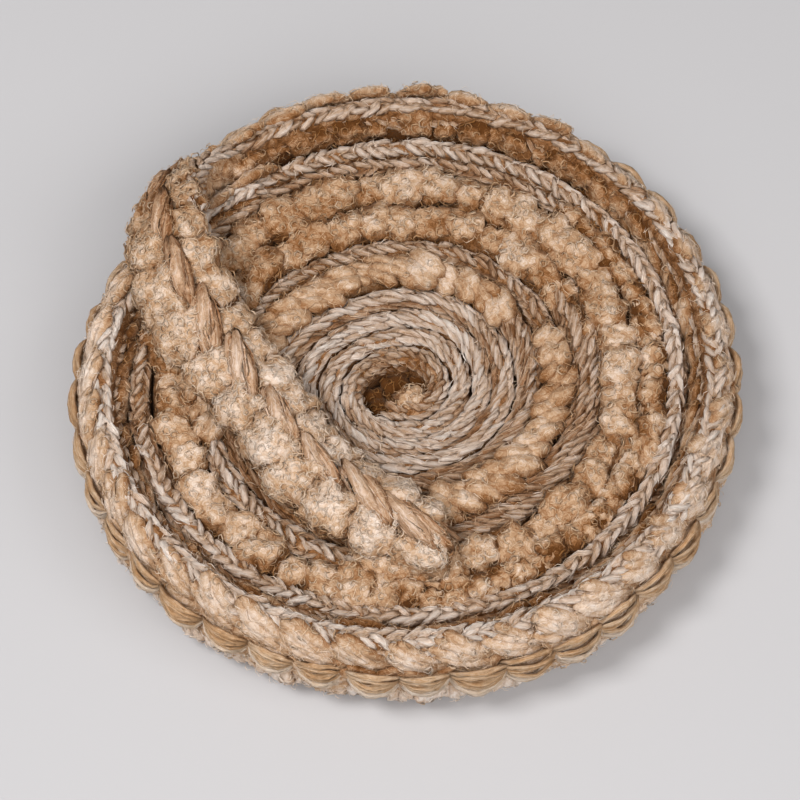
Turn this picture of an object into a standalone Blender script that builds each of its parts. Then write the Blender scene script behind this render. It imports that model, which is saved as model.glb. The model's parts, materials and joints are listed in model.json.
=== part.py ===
"""Boucle fringe trim: about 2.7 m of 25 mm trim, wound flat into a roll.

The trim is a narrow braid with a chain-stitched edge and two rows of soft looped bobbles.
It stands on its edge and winds round an open eye; its last length rises off the rim,
turns over onto its back and lies across the top of the roll.

wound_roll  all the turns of the trim, one swept band
loose_end   the free end that lies across them

Angles are degrees round +Z from +X; the band winds outwards as the angle grows.
"""

import math

import bmesh
import bpy
from mathutils import Vector

# Driving dimensions, millimetres and degrees.
RIM_HEIGHT = 25.0  # the trim's full width, on edge in the outermost turn
WOUND_HEIGHT = 19.5  # the turn inside it, pushed down
DISH_DEPTH = 5.0  # how far the middle sinks below that
DISH_RADIUS = 62.0
EYE_OFFSET = 1.9  # the middle of the roll sits this far towards -Y
TURN_GAP = 0.5  # between turns that press together
RIM_GAP = 2.0  # between the outermost turn and the next
RIM_THICKNESS = 8.2
RIM_STARTS = 124.0  # where the last wound turn leaves the one inside it
RIM_FULL = 175.0  # where it has its full thickness
RIM_TALL = 205.0  # where it has its full height
RIM_BOBBLES = 41  # round the outermost turn
BOBBLE_BULGE = 1.7
RIDGE_WAVE = 0.3
STATIONS_PER_BOBBLE = 4
LOOSE_GAP = 0.3  # between the rim's end and the loose end
LOOSE_BOBBLE = 12.6  # length of one bobble along the loose end
LOOSE_STEPS = 4  # sections in one bobble
LOOSE_BULGE = 1.5
LOOSE_TAPERS = 12.0  # width under which its bobbles shrink

# The groove on the inner side of each turn, from the rim inwards: its radius where the turn passes
# the left, the front, the right and the two back quarters, then the pitch and height of its lumps.
GROOVE_ANGLES = (200.0, 270.0, 360.0, 420.0, 480.0)
TURNS = (
    # left, front, right, back right, back left, lump pitch, lump height
    (65.6, 65.6, 65.4, 65.2, 65.2, 0.0, 0.0),
    (59.8, 60.0, 59.6, 59.3, 59.3, 10.0, 0.15),
    (50.6, 54.3, 54.1, 55.6, 55.6, 8.4, 0.6),
    (45.3, 46.0, 45.5, 46.9, 47.2, 8.4, 0.7),
    (40.6, 38.2, 37.5, 38.0, 38.4, 8.4, 0.5),
    (34.6, 32.0, 32.0, 32.4, 32.7, 10.0, 0.3),
    (27.6, 24.3, 25.3, 25.5, 26.0, 10.0, 0.3),
    (21.1, 19.3, 19.6, 19.8, 20.0, 9.4, 0.25),
    (15.9, 14.8, 15.0, 15.2, 15.4, 9.0, 0.2),
    (11.0, 10.2, 10.3, 10.5, 10.7, 7.6, 0.2),
    (2.6, 2.6, 5.0, 5.0, 5.6, 6.4, 0.2),
)
EYE_STARTS = 238.0  # the inner end of the trim, folded into a nub

# Band sections: across (-1 inner face, 1 outer face), up (0 foot, 1 crown).
WOUND_SECTION = (
    (-0.80, 0.00),
    (0.80, 0.00),
    (1.00, 0.14),
    (1.00, 0.82),
    (0.55, 0.96),
    (0.00, 1.00),
    (-0.55, 0.96),
    (-1.00, 0.82),
)
# The rim's section has the same corners; bulge is how much of a bobble swells there, and row which
# of the two staggered rows of bobbles it belongs to.
RIM_SECTION = (
    # across, up, bulge, row
    (-0.90, 0.00, 0.0, 0),
    (0.70, 0.00, 0.0, 0),
    (1.00, 0.30, 1.0, 1),
    (0.95, 0.66, 1.0, 0),
    (0.52, 0.92, 0.2, 0),
    (0.00, 1.00, 0.0, 0),
    (-0.52, 0.94, 0.0, 0),
    (-1.00, 0.62, -0.4, 0),
)

# The loose end, where its middle runs: place, lean (0 on edge, 90 on its back), width, thickness.
LOOSE_ROUTE = (
    # x, y, z, lean, width, thickness
    (-48.2, 52.6, 16.2, 6.0, 23.5, 8.2),
    (-52.6, 46.2, 21.6, 20.0, 21.5, 8.0),
    (-54.9, 39.6, 26.4, 38.0, 19.5, 7.8),
    (-55.0, 32.4, 29.4, 55.0, 18.0, 7.6),
    (-53.2, 24.0, 29.2, 67.0, 17.0, 7.4),
    (-50.2, 15.6, 26.4, 77.0, 16.5, 7.2),
    (-45.6, 6.6, 24.0, 84.0, 16.0, 7.0),
    (-37.5, -5.2, 22.8, 88.0, 16.0, 7.0),
    (-29.0, -17.6, 22.3, 90.0, 16.0, 7.0),
    (-20.0, -28.8, 22.2, 90.0, 15.5, 7.0),
    (-10.0, -37.2, 22.4, 90.0, 15.0, 6.8),
    (1.0, -43.6, 22.5, 90.0, 12.0, 6.2),
    (9.5, -46.6, 22.2, 90.0, 7.0, 4.6),
)
# Its sections, on edge and lying: across, up, then what its bobbles add across and up, and their row.
STANDING_SECTION = (
    (-0.90, 0.02),
    (0.70, 0.00),
    (1.00, 0.20),
    (0.98, 0.45),
    (0.95, 0.68),
    (0.52, 0.92),
    (0.00, 1.00),
    (-0.52, 0.94),
    (-1.00, 0.62),
    (-1.00, 0.32),
)
LYING_SECTION = (
    # across, up, bulge across, bulge up, row
    (-0.70, 0.05, 0.0, -0.5, 0),
    (0.10, 0.00, 0.0, -1.0, 0),
    (0.85, 0.22, 1.0, 0.0, 0),
    (0.55, 0.50, 0.0, 0.0, 0),
    (0.80, 0.74, 0.8, 0.0, 1),
    (0.30, 0.96, 0.0, 0.6, 1),
    (-0.20, 1.00, 0.0, 0.6, 1),
    (-0.75, 0.92, 0.0, 0.0, 0),
    (-1.00, 0.66, 0.0, 0.0, 0),
    (-1.00, 0.34, 0.0, 0.0, 0),
)
LIES_DOWN = 55.0  # lean at which the section has become the lying one

TRIM_NAME = "boucle_fringe_trim"
CREAM = (0.60, 0.47, 0.35, 1.0)
TAN = (0.50, 0.36, 0.24, 1.0)
MM = 0.001


def hermite(knots, values, at):
    """A smooth curve through values at knots; past either end it holds the end value."""
    if at <= knots[0]:
        return values[0]
    if at >= knots[-1]:
        return values[-1]
    k = max(i for i in range(len(knots) - 1) if knots[i] <= at)

    def slope(i):
        low = max(i - 1, 0)
        high = min(i + 1, len(knots) - 1)
        return (values[high] - values[low]) / (knots[high] - knots[low])

    span = knots[k + 1] - knots[k]
    t = (at - knots[k]) / span
    start = (1 + 2 * t) * (1 - t) ** 2
    end = t * t * (3 - 2 * t)
    lead = t * (1 - t) ** 2
    trail = t * t * (t - 1)
    return (
        start * values[k]
        + end * values[k + 1]
        + span * (lead * slope(k) + trail * slope(k + 1))
    )


def smooth(low, high, at):
    """0 below low, 1 above high, and an easy slope between them."""
    t = min(max((at - low) / (high - low), 0.0), 1.0)
    return t * t * (3 - 2 * t)


# The winding angle runs on from turn to turn, from EYE_STARTS at the inner end of the trim.
LAST_TURN = 360.0 * (len(TURNS) - 1)
WINDING_ENDS = LAST_TURN + 360.0 + RIM_STARTS
WIND_KNOTS = [360.0 * k + a for k in range(len(TURNS)) for a in GROOVE_ANGLES]
WIND_RADII = [radius for turn in reversed(TURNS) for radius in turn[: len(GROOVE_ANGLES)]]


def groove(wind):
    """Radius of the groove on the inner side of the band at a winding angle."""
    return hermite(WIND_KNOTS, WIND_RADII, wind)


def rim_share(wind, full):
    """How far the band has become the rim, from 0 to 1 where it reaches the angle full."""
    return smooth(LAST_TURN + RIM_STARTS, LAST_TURN + full, wind)


def band_edges(wind):
    """Inner and outer radius of the band at a winding angle."""
    inner = groove(wind) + (TURN_GAP + (RIM_GAP - TURN_GAP) * rim_share(wind, RIM_FULL)) / 2
    pressed = min(wind, LAST_TURN + RIM_STARTS)
    outer_gap = TURN_GAP + (RIM_GAP - TURN_GAP) * rim_share(pressed + 360.0, RIM_FULL)
    thickness = groove(pressed + 360.0) - outer_gap / 2 - groove(pressed) - TURN_GAP / 2
    thickness += (RIM_THICKNESS - thickness) * rim_share(wind, RIM_FULL)
    return inner, inner + thickness


def turn_row(wind):
    """The TURNS row that a winding angle belongs to."""
    turn = int((wind - GROOVE_ANGLES[0]) // 360.0)
    return TURNS[len(TURNS) - 1 - min(max(turn, 0), len(TURNS) - 1)]


def roll_middle(radius):
    """Where the centre of the turns lies at a radius: the eye sits off centre."""
    return Vector((0.0, -EYE_OFFSET * max(0.0, 1.0 - radius / DISH_RADIUS), 0.0))


def roll_top(radius):
    """Height of the wound turns' crowns at a radius."""
    return WOUND_HEIGHT - DISH_DEPTH * max(0.0, 1.0 - radius / DISH_RADIUS)


def wound_stations():
    """Winding angles of the band's sections, two to a lump and four to a rim bobble."""
    stations = [EYE_STARTS]
    rim_step = 360.0 / (RIM_BOBBLES * STATIONS_PER_BOBBLE)
    while stations[-1] < WINDING_ENDS:
        wind = stations[-1]
        *_, pitch, _ = turn_row(wind)
        if wind >= LAST_TURN + RIM_STARTS or not pitch:
            step = rim_step
        else:
            inner, outer = band_edges(wind)
            step = math.degrees(pitch / (inner + outer))
        stations.append(wind + step)
    stations[-1] = WINDING_ENDS
    return stations


def wound_ring(index, wind):
    """One section of the wound band."""
    inner, outer = band_edges(wind)
    middle = (inner + outer) / 2
    half = (outer - inner) / 2
    share = rim_share(wind, RIM_TALL)
    *_, lump_height = turn_row(wind)
    lump = lump_height if index % 2 else -lump_height
    phase = math.radians(wind * RIM_BOBBLES)
    swell = ((1 + math.cos(phase)) / 2, (1 - math.cos(phase)) / 2)
    wound_top = roll_top(middle) + lump
    rim_top = RIM_HEIGHT + RIDGE_WAVE * math.cos(phase)
    angle = math.radians(wind)
    outward = Vector((math.cos(angle), math.sin(angle), 0.0))
    ring = []
    for (across, up), (rim_across, rim_up, bulge, row) in zip(WOUND_SECTION, RIM_SECTION):
        height = (1 - share) * up * wound_top + share * rim_up * rim_top
        shift = (1 - share) * across + share * rim_across
        puff = share * bulge * swell[row] * BOBBLE_BULGE
        radius = middle + half * shift + puff
        ring.append(roll_middle(radius) + outward * radius + Vector((0.0, 0.0, height)))
    return ring


def loft(rings):
    """A closed mesh over a row of sections that share their corner count."""
    mesh = bmesh.new()
    loops = [[mesh.verts.new(corner * MM) for corner in ring] for ring in rings]
    for loop, following in zip(loops, loops[1:]):
        for k, corner in enumerate(loop):
            after = (k + 1) % len(loop)
            mesh.faces.new((corner, loop[after], following[after], following[k]))
    mesh.faces.new(list(reversed(loops[0])))
    mesh.faces.new(loops[-1])
    bmesh.ops.triangulate(mesh, faces=mesh.faces)
    bmesh.ops.recalc_face_normals(mesh, faces=mesh.faces)
    return mesh


def loose_route():
    """The loose end's middle line, as knots along its length and one column per value."""
    inner, outer = band_edges(WINDING_ENDS)
    angle = math.radians(WINDING_ENDS)
    outward = Vector((math.cos(angle), math.sin(angle), 0.0))
    onward = Vector((-math.sin(angle), math.cos(angle), 0.0))
    start = outward * (inner + outer) / 2 + onward * LOOSE_GAP
    rows = [(start.x, start.y, RIM_HEIGHT / 2, 0.0, RIM_HEIGHT, outer - inner), *LOOSE_ROUTE]
    knots = [0.0]
    for row, following in zip(rows, rows[1:]):
        knots.append(knots[-1] + math.dist(row[:3], following[:3]))
    return knots, list(zip(*rows)), onward


def loose_rings():
    """Sections of the loose end from the rim's end to its tip."""
    knots, columns, onward = loose_route()
    length = knots[-1]
    count = round(length / LOOSE_BOBBLE * LOOSE_STEPS)
    rings = []
    for k in range(count + 1):
        at = length * k / count
        x, y, z, lean, width, thickness = (hermite(knots, c, at) for c in columns)
        ahead = Vector([hermite(knots, c, at + LOOSE_GAP) for c in columns[:2]])
        behind = Vector([hermite(knots, c, at - LOOSE_GAP) for c in columns[:2]])
        along = (ahead - behind).normalized().to_3d() if k else onward
        inward = Vector((-along.y, along.x, 0.0))
        tilt = math.radians(lean)
        edge_up = inward * math.sin(tilt) + Vector((0.0, 0.0, math.cos(tilt)))
        face_out = along.cross(edge_up)
        share = smooth(0.0, LIES_DOWN, lean)
        phase = math.tau * at / LOOSE_BOBBLE
        swell = ((1 - math.cos(phase)) / 2, (1 + math.cos(phase)) / 2)
        taper = min(1.0, width / LOOSE_TAPERS)
        ring = []
        for (across, up), (lying_across, lying_up, out, aside, row) in zip(
            STANDING_SECTION, LYING_SECTION
        ):
            puff = swell[row] * LOOSE_BULGE * smooth(0.0, LOOSE_BOBBLE, at) * taper
            face = ((1 - share) * across + share * lying_across) * thickness / 2
            rise = ((1 - share) * up + share * lying_up - 0.5) * width
            place = face_out * (face + out * puff) + edge_up * (rise + aside * puff)
            ring.append(Vector((x, y, z)) + place)
        rings.append(ring)
    return rings


def add_part(name, mesh, colour, collection):
    """An object of its own, with a soft yarn material."""
    material = bpy.data.materials.new(name + "_yarn")
    material.use_nodes = True
    shader = material.node_tree.nodes["Principled BSDF"]
    shader.inputs["Base Color"].default_value = colour
    shader.inputs["Roughness"].default_value = 0.9
    shader.inputs["Metallic"].default_value = 0.0
    data = bpy.data.meshes.new(name)
    mesh.to_mesh(data)
    mesh.free()
    data.materials.append(material)
    data.shade_smooth()
    part = bpy.data.objects.new(name, data)
    collection.objects.link(part)
    return part


def main():
    for old in list(bpy.data.objects):
        bpy.data.objects.remove(old)
    collection = bpy.data.collections.new(TRIM_NAME)
    bpy.context.scene.collection.children.link(collection)
    rings = [wound_ring(k, wind) for k, wind in enumerate(wound_stations())]
    add_part("wound_roll", loft(rings), TAN, collection)
    add_part("loose_end", loft(loose_rings()), CREAM, collection)


main()
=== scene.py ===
"""Boucle fringe trim wound in a flat roll: the yarn, stitches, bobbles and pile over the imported
solids. Sizes are millimetres unless a name says otherwise; the winding angle is in degrees."""
import json
import math
from functools import partial

import bmesh
import bpy
import numpy as np
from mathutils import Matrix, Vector, noise
from mathutils.bvhtree import BVHTree

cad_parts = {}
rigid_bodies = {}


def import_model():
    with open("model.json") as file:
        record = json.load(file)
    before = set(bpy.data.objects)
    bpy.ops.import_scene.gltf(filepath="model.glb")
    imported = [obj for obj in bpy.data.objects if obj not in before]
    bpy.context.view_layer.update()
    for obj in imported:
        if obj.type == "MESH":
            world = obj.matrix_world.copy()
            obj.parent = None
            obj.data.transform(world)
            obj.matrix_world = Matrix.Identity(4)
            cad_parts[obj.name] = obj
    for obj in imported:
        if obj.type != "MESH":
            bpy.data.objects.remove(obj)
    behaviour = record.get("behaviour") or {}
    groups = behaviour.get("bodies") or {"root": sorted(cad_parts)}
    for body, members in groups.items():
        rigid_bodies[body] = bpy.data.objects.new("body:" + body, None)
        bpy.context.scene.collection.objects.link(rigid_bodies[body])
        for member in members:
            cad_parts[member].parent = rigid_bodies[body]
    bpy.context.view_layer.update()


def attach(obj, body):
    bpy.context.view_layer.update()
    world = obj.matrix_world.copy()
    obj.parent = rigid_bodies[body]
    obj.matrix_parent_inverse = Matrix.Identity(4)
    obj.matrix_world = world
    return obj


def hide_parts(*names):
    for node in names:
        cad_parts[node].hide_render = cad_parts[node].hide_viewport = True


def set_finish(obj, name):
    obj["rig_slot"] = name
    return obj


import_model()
MM = 0.001

# -----
# Camera: a long lens that looks down on the roll, its axis a little off the middle of the frame.
CAMERA_REACH = 644.0
CAMERA_RISE = math.radians(60.0)
AIM_HEIGHT = 19.5
LENS = 126.0
SENSOR = 36.0
FRAME_SHIFT = (-0.00875, -0.04075)


def put(name, data):
    """An object at the origin of the scene."""
    thing = bpy.data.objects.new(name, data)
    bpy.context.scene.collection.objects.link(thing)
    return thing


camera_data = bpy.data.cameras.new("camera")
camera_data.lens = LENS
camera_data.sensor_width = SENSOR
camera_data.shift_x, camera_data.shift_y = FRAME_SHIFT
camera = put("camera", camera_data)
aim = Vector((0.0, 0.0, AIM_HEIGHT * MM))
back_off = Vector((0.0, -math.cos(CAMERA_RISE), math.sin(CAMERA_RISE)))
camera.location = aim + back_off * CAMERA_REACH * MM
camera.rotation_euler = (-back_off).to_track_quat("-Z", "Y").to_euler()
bpy.context.scene.camera = camera

# -----
# Studio: a pale matt sheet under one wide soft light from the upper left, filled from all round.
FLOOR_SIDE = 3000.0
LIGHTS = (
    # name, place (m), side (m), power (W)
    ("key", (-0.56, -0.20, 1.15), 0.42, 12.5),
    ("front_fill", (0.08, -0.88, 0.92), 0.9, 8.0),
    ("right_fill", (0.80, -0.48, 0.85), 0.7, 5.5),
)
LAMP_COLOUR = (1.0, 0.985, 0.97)
SKY_COLOUR = (0.98, 0.985, 1.0, 1.0)
SKY_STRENGTH = 0.24


def linear(code):
    """An sRGB hex colour as the linear RGBA that shaders take."""
    parts = [int(code[i : i + 2], 16) / 255 for i in (1, 3, 5)]
    return (*(c / 12.92 if c <= 0.04045 else ((c + 0.055) / 1.055) ** 2.4 for c in parts), 1.0)


def add_node(tree, kind, *values, **named):
    """The first output of a new node. A value goes into the input of its place or its name, where a
    socket is linked and anything else is set; small letters name the node's own settings."""
    node = tree.nodes.new(kind)
    for name in filter(str.islower, named):
        setattr(node, name, named[name])
    inputs = [i for i in node.inputs if i.enabled]
    pairs = list(zip(inputs, values))
    for name, value in named.items():
        if not name.islower():
            pairs.append((next(i for i in inputs if i.name == name.replace("_", " ")), value))
    for socket, value in pairs:
        if isinstance(value, bpy.types.NodeSocket):
            tree.links.new(value, socket)
        else:
            socket.default_value = value
    return next((o for o in node.outputs if o.enabled), None)


def new_material(name):
    """An empty material, and add_node for its tree."""
    material = bpy.data.materials.new(name)
    material.use_nodes = True
    material.node_tree.nodes.clear()
    return material, partial(add_node, material.node_tree)


def set_ramp(ramp, stops):
    """Give a colour ramp its stops: place and hex colour."""
    elements, stops = ramp.node.color_ramp.elements, list(stops)
    while len(elements) < len(stops):
        elements.new(0.5)
    for element, (spot, code) in zip(elements, stops):
        element.position = spot
        element.color = linear(code)


bpy.context.scene.view_settings.view_transform = "Standard"
bpy.context.scene.view_settings.look = "None"

# Matt backdrop paper: an even pale grey with a faint mottle about a third of a metre across.
NOISE = "ShaderNodeTexNoise"
PRINCIPLED = "ShaderNodeBsdfPrincipled"
OUTPUT = "ShaderNodeOutputMaterial"
paper, node = new_material("matt_backdrop_paper")
place = node("ShaderNodeTexCoord").node.outputs
mottle = node(NOISE, place["Object"], Scale=3.0, Detail=2.0)
shade = node("ShaderNodeValToRGB", mottle)
set_ramp(shade, ((0.0, "#B2B1B3"), (1.0, "#B7B6B8")))
node(OUTPUT, node(PRINCIPLED, Base_Color=shade, Roughness=0.9))

mesh = bmesh.new()
bmesh.ops.create_grid(mesh, x_segments=1, y_segments=1, size=FLOOR_SIDE / 2 * MM)
floor_mesh = bpy.data.meshes.new("floor")
mesh.to_mesh(floor_mesh)
mesh.free()
floor_mesh.materials.append(paper)
floor = put("floor", floor_mesh)

for name, spot, side, power in LIGHTS:
    lamp = bpy.data.lights.new(name, "AREA")
    lamp.energy = power
    lamp.size = side
    lamp.color = LAMP_COLOUR
    light = put(name, lamp)
    light.location = spot
    light.rotation_euler = (aim - Vector(spot)).to_track_quat("-Z", "Y").to_euler()
sky = bpy.data.worlds.new("studio")
sky.use_nodes = True
backdrop = sky.node_tree.nodes["Background"].inputs
backdrop["Color"].default_value = SKY_COLOUR
backdrop["Strength"].default_value = SKY_STRENGTH
bpy.context.scene.world = sky

# -----
# Braid body: the knitted band itself, about 2.5 m of it wound on its edge. It is the ground that
# every stitch, bobble and hair is worked into, and it shows as brown shade down between them,
# painted darker the deeper it lies: painted shade.
ROLL_SLOT = "boucle_yarn_roll"
RIM_HEIGHT = 25.0
WOUND_HEIGHT = 19.5
DISH_DEPTH = 5.0
DISH_RADIUS = 62.0
EYE_OFFSET = 1.9
TURN_GAP = 0.5
RIM_GAP = 2.0
RIM_THICKNESS = 8.2
RIM_STARTS = 124.0
RIM_ENDS = RIM_STARTS + 360.0
RIM_FULL = 175.0
RIM_TALL = 205.0
GROOVE_ANGLES = (200.0, 270.0, 360.0, 420.0, 480.0)
GROOVES = (
    # groove radius at the left, front, right, back right and back left, from the rim inwards
    (65.6, 65.6, 65.4, 65.2, 65.2),
    (59.8, 60.0, 59.6, 59.3, 59.3),
    (50.6, 54.3, 54.1, 55.6, 55.6),
    (45.3, 46.0, 45.5, 46.9, 47.2),
    (40.6, 38.2, 37.5, 38.0, 38.4),
    (34.6, 32.0, 32.0, 32.4, 32.7),
    (27.6, 24.3, 25.3, 25.5, 26.0),
    (21.1, 19.3, 19.6, 19.8, 20.0),
    (15.9, 14.8, 15.0, 15.2, 15.4),
    (11.0, 10.2, 10.3, 10.5, 10.7),
    (2.6, 2.6, 5.0, 5.0, 5.6),
)
EYE_STARTS = 238.0
LAST_TURN = 360.0 * (len(GROOVES) - 1)
WINDING_ENDS = LAST_TURN + RIM_ENDS
WIND_KNOTS = np.array([360.0 * k + a for k in range(len(GROOVES)) for a in GROOVE_ANGLES])
WIND_RADII = np.array([radius for turn in reversed(GROOVES) for radius in turn])

# The band's outline from its inner foot (-1) over the crown (0) to its outer foot (1): across the
# band (-1 inner face, 1 outer face) and up it, for the wound turns and for the rim.
GIRTH = np.array([-1.0, -0.88, -0.45, -0.2, 0.0, 0.2, 0.45, 0.88, 1.0])
WOUND_ACROSS = np.array([-0.80, -1.0, -1.0, -0.58, 0.0, 0.58, 1.0, 1.0, 0.80])
WOUND_UP = np.array([0.0, 0.12, 0.80, 0.96, 1.0, 0.96, 0.80, 0.12, 0.0])
RIM_ACROSS = np.array([-0.90, -1.0, -0.95, -0.50, 0.0, 0.52, 1.05, 1.10, 0.75])
RIM_UP = np.array([0.0, 0.20, 0.66, 0.94, 1.0, 0.92, 0.66, 0.26, 0.0])


def hermite(knots, values, at):
    """A smooth curve through values at knots, held past both ends. at may be an array."""
    at = np.clip(np.asarray(at, float), knots[0], knots[-1])
    k = np.clip(np.searchsorted(knots, at, side="right") - 1, 0, len(knots) - 2)
    slopes = np.gradient(values, knots, edge_order=1)
    slopes[1:-1] = (values[2:] - values[:-2]) / (knots[2:] - knots[:-2])
    span = knots[k + 1] - knots[k]
    t = (at - knots[k]) / span
    start = (1 + 2 * t) * (1 - t) ** 2
    bend = span * (t * (1 - t) ** 2 * slopes[k] + t * t * (t - 1) * slopes[k + 1])
    return start * values[k] + (1 - start) * values[k + 1] + bend


def smooth(low, high, at):
    """0 below low, 1 above high, and an easy slope between them."""
    t = np.clip((np.asarray(at, float) - low) / (high - low), 0.0, 1.0)
    return t * t * (3 - 2 * t)


def rim_share(wind, full):
    """How far the band has become the rim, from 0 to 1 where it reaches the angle full."""
    return smooth(LAST_TURN + RIM_STARTS, LAST_TURN + full, wind)


def band_edges(wind):
    """Inner and outer radius of the band at a winding angle."""
    groove = partial(hermite, WIND_KNOTS, WIND_RADII)
    inner = groove(wind) + (TURN_GAP + (RIM_GAP - TURN_GAP) * rim_share(wind, RIM_FULL)) / 2
    pressed = np.minimum(wind, LAST_TURN + RIM_STARTS)
    outer_gap = TURN_GAP + (RIM_GAP - TURN_GAP) * rim_share(pressed + 360.0, RIM_FULL)
    thickness = groove(pressed + 360.0) - outer_gap / 2 - groove(pressed) - TURN_GAP / 2
    thickness += (RIM_THICKNESS - thickness) * rim_share(wind, RIM_FULL)
    return inner, inner + thickness


def band_surface(wind, girth):
    """Points of the band's face at winding angles and girths of the same shape, one row each."""
    inner, outer = band_edges(wind)
    middle = (inner + outer) / 2
    half = (outer - inner) / 2
    share = rim_share(wind, RIM_TALL)
    across = (1 - share) * np.interp(girth, GIRTH, WOUND_ACROSS)
    across = across + share * hermite(GIRTH, RIM_ACROSS, girth)
    sunk = np.clip(1.0 - middle / DISH_RADIUS, 0.0, None)
    top = WOUND_HEIGHT - DISH_DEPTH * sunk
    up = (1 - share) * hermite(GIRTH, WOUND_UP, girth) * top
    up = up + share * hermite(GIRTH, RIM_UP, girth) * RIM_HEIGHT
    radius = middle + half * across
    angle = np.radians(wind)
    off = -EYE_OFFSET * np.clip(1.0 - radius / DISH_RADIUS, 0.0, None)
    return np.stack([radius * np.cos(angle), radius * np.sin(angle) + off, up], axis=-1)


def unit(vectors):
    """Vectors at unit length."""
    return vectors / np.linalg.norm(vectors, axis=-1, keepdims=True)


def band_frame(wind, girth):
    """Points on the band's face with the unit normals that point out of it."""
    wind, girth = np.broadcast_arrays(np.asarray(wind, float), np.asarray(girth, float))
    along = band_surface(wind + 0.3, girth) - band_surface(wind - 0.3, girth)
    around = band_surface(wind, np.minimum(girth + 0.02, 1.0))
    around = around - band_surface(wind, np.maximum(girth - 0.02, -1.0))
    return band_surface(wind, girth), unit(np.cross(around, along))


def smooth_mesh(name, vertices, faces):
    """A mesh shaded smooth."""
    data = bpy.data.meshes.new(name)
    data.from_pydata(vertices, [], faces)
    data.shade_smooth()
    return data


def closed_loft(name, rings, material):
    """A closed piece through rings (mm) of equal corner counts, capped at its ends."""
    count, sides = rings.shape[:2]
    faces = []
    for a, b in zip(range(0, (count - 1) * sides, sides), range(sides, count * sides, sides)):
        faces += [(a + s, a + t, b + t, b + s) for s, t in zip(range(sides), (*range(1, sides), 0))]
    faces.append(tuple(reversed(range(sides))))
    faces.append(tuple(range((count - 1) * sides, count * sides)))
    data = smooth_mesh(name, (rings.reshape(-1, 3) * MM).tolist(), faces)
    data.materials.append(material)
    return turn_outwards(put(name, data))


def turn_outwards(piece):
    """A closed piece with the normals of its faces made to point out of it."""
    mesh = bmesh.new()
    mesh.from_mesh(piece.data)
    bmesh.ops.recalc_face_normals(mesh, faces=mesh.faces)
    mesh.to_mesh(piece.data)
    mesh.free()
    return piece


def paint(piece, **columns):
    """Point attributes of a piece, one float for each of its points."""
    for name, values in columns.items():
        layer = piece.data.attributes.new(name, "FLOAT", "POINT")
        layer.data.foreach_set("value", np.asarray(values, np.float32).ravel())


# Acrylic and wool yarn, brushed: cream, fawn and golden brown fibres carded together, so every
# strand streaks from one to another. It gives the eye a dry, soft face with a pale bloom at grazing
# angles. tone picks the shade of each stitch, and carries painted shade that turns deep places
# brown. Plied yarn is a little warmer. Single hairs let light through, so theirs are the palest
# shades, a painted brightening that stands in for the light through them.
YARN_STEPS = (0.00, 0.20, 0.42, 0.62, 0.82, 1.00)
HAIR_STEPS = (0.00, 0.25, 0.45, 0.65, 0.85, 1.00)
YARN_SHADES = ("#553214", "#855B38", "#B19071", "#CEB8A5", "#DFD1C6", "#E9E1DB")
PLIED_SHADES = ("#593517", "#8A5F3E", "#B69375", "#D3BAA6", "#E1D0C3", "#EBE0D6")
HAIR_SHADES = ("#946536", "#BE966F", "#D6BA9C", "#E3CFBC", "#EBDED1", "#F0E7DE")
SHEEN_TINT = "#FFE3C4"
MATH = "ShaderNodeMath"
VECTOR_MATH = "ShaderNodeVectorMath"
# Pattern scales are repeats in a metre: dye patches 13 mm across, slubs and strays 2 mm, curls of
# boucle 2.3 mm. The fibres of the streaks are drawn coarser than real ones, or they wouldn't show.
PATCHES = 75.0
SLUBS = 560.0
STRAYS = 500.0
CURLS = 430.0
STRAY_REACH = 2.4
STREAKS = (0.7, 9.0, 1.0)


def yarn_material(name, along_uv, depth, shades=YARN_SHADES):
    """Brushed yarn. Fibre streaks run along each strand where along_uv is 1 and curl over the
    surface where it is 0; depth is their relief in millimetres."""
    material, node = new_material(name)
    place = node("ShaderNodeTexCoord").node.outputs
    tone = node("ShaderNodeAttribute", attribute_name="tone").node.outputs["Fac"]
    patches = node(NOISE, place["Object"], Scale=PATCHES, Detail=1.0)
    mottle = node(NOISE, place["Object"], Scale=SLUBS, Detail=3.0, Roughness=0.7, Distortion=0.8)
    stray = node(NOISE, place["Object"], Scale=STRAYS, Detail=2.0, Roughness=0.6)
    stray = partial(node, VECTOR_MATH, stray.node.outputs["Color"], operation="MULTIPLY_ADD")
    mixed = partial(node, MATH, operation="MULTIPLY_ADD")
    strayed = stray((STRAY_REACH * MM,) * 3, place["Object"])
    near = node("ShaderNodeTexVoronoi", strayed, Scale=CURLS)
    rings = node(MATH, node(MATH, near, 26.0, operation="MULTIPLY"), operation="SINE")
    curls = mixed(rings, 0.16, mixed(near, -0.9, 0.80))
    lengthwise = node("ShaderNodeMapping", stray((0.20, 0.14, 0.0), place["UV"]), Scale=STREAKS)
    streak = node(NOISE, lengthwise, Scale=2.0, Detail=3.0, Roughness=0.75)
    fibres = node("ShaderNodeMix", Factor=along_uv, A=curls, B=mixed(streak, 3.8, -1.46))
    shade = mixed(fibres, 0.36, mixed(mottle, 0.50, mixed(patches, 0.18, tone)))
    ramp = node("ShaderNodeValToRGB", node(MATH, shade, -0.61, operation="ADD"))
    set_ramp(ramp, zip(HAIR_STEPS if shades is HAIR_SHADES else YARN_STEPS, shades))
    relief = mixed(mottle, 0.9, fibres)
    yarn = node(
        PRINCIPLED,
        Base_Color=ramp,
        Normal=node("ShaderNodeBump", Height=relief, Strength=1.0, Distance=depth * MM),
        Roughness=0.95,
        Sheen_Weight=0.10,
        Sheen_Roughness=0.5,
        Sheen_Tint=linear(SHEEN_TINT),
        Specular_IOR_Level=0.08,
    )
    node(OUTPUT, yarn)
    return material


# Braid ground: the knitted yarn itself, with the deepest relief, as its stitches are open.
body_yarn = yarn_material("brushed_braid_yarn", 0.0, 0.40)

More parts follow.
